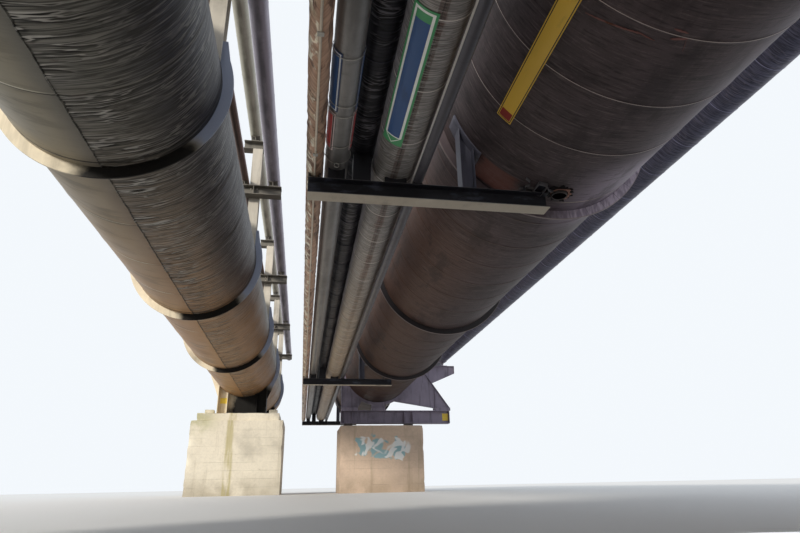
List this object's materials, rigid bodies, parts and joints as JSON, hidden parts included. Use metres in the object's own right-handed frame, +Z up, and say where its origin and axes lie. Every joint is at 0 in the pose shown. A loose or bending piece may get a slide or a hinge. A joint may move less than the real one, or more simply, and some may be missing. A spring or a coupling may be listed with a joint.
{
  "type": "pipe bridge",
  "caption": "Industrial pipe bridge: two big parallel gas mains on concrete piers, with ring stiffeners, saddles and outrigger beams that carry smaller service pipes.",
  "frame": {"origin": "On the ground, under the middle of the whole bridge.", "axes": "+X across the bridge towards the outer pipe on the bare main's brackets, +Y along the pipes, +Z up."},
  "size_m": [9.24, 34.18, 7.4001],
  "materials": {
    "left_concrete": "matte",
    "right_concrete": "matte",
    "dark_steel": "matte",
    "weathered_cladding": "satin",
    "ring_paint": "matte",
    "post_paint": "matte",
    "pale_paint": "matte",
    "dark_paint": "satin",
    "rusty_steel": "matte",
    "umber_steel": "matte",
    "bearing_iron": "matte",
    "girder_paint": "matte",
    "black_cladding": "matte",
    "outrigger_paint": "matte",
    "brown_cladding": "matte",
    "silver_cladding": "satin",
    "process_cladding": "satin",
    "grey_paint": "matte"
  },
  "bodies": {
    "root": {"left_pier_near": "left_concrete", "left_pier_far": "left_concrete", "left_guide_blocks": "left_concrete", "right_pier_near": "right_concrete", "right_pier_far": "right_concrete", "left_main_pipe": "dark_steel", "left_cladding": "weathered_cladding", "left_rings": "ring_paint", "left_saddle_near": "ring_paint", "left_saddle_far": "ring_paint", "left_posts": "post_paint", "left_upper_beams": "post_paint", "left_lower_beams": "post_paint", "left_pale_pipe": "pale_paint", "left_dark_pipe": "dark_paint", "left_rust_pipe": "rusty_steel", "left_upper_shoes": "post_paint", "left_lower_shoes": "post_paint", "right_main_pipe": "umber_steel", "right_rings": "umber_steel", "drain_stub": "umber_steel", "right_bearings": "bearing_iron", "right_girder_near": "girder_paint", "right_girder_far": "girder_paint", "right_saddle_near": "girder_paint", "right_saddle_far": "girder_paint", "outer_brackets": "girder_paint", "outer_pipe": "black_cladding", "outer_shoes": "girder_paint", "outrigger_beams": "outrigger_paint", "hanger_posts": "outrigger_paint", "brown_pipe": "brown_cladding", "cable_conduit": "dark_paint", "silver_pipe": "silver_cladding", "black_pipe": "black_cladding", "process_pipe": "process_cladding", "grey_pipe": "grey_paint", "service_shoes": "outrigger_paint", "brown_pipe_shoes": "outrigger_paint", "black_pipe_stools": "outrigger_paint"}
  },
  "joints": []
}
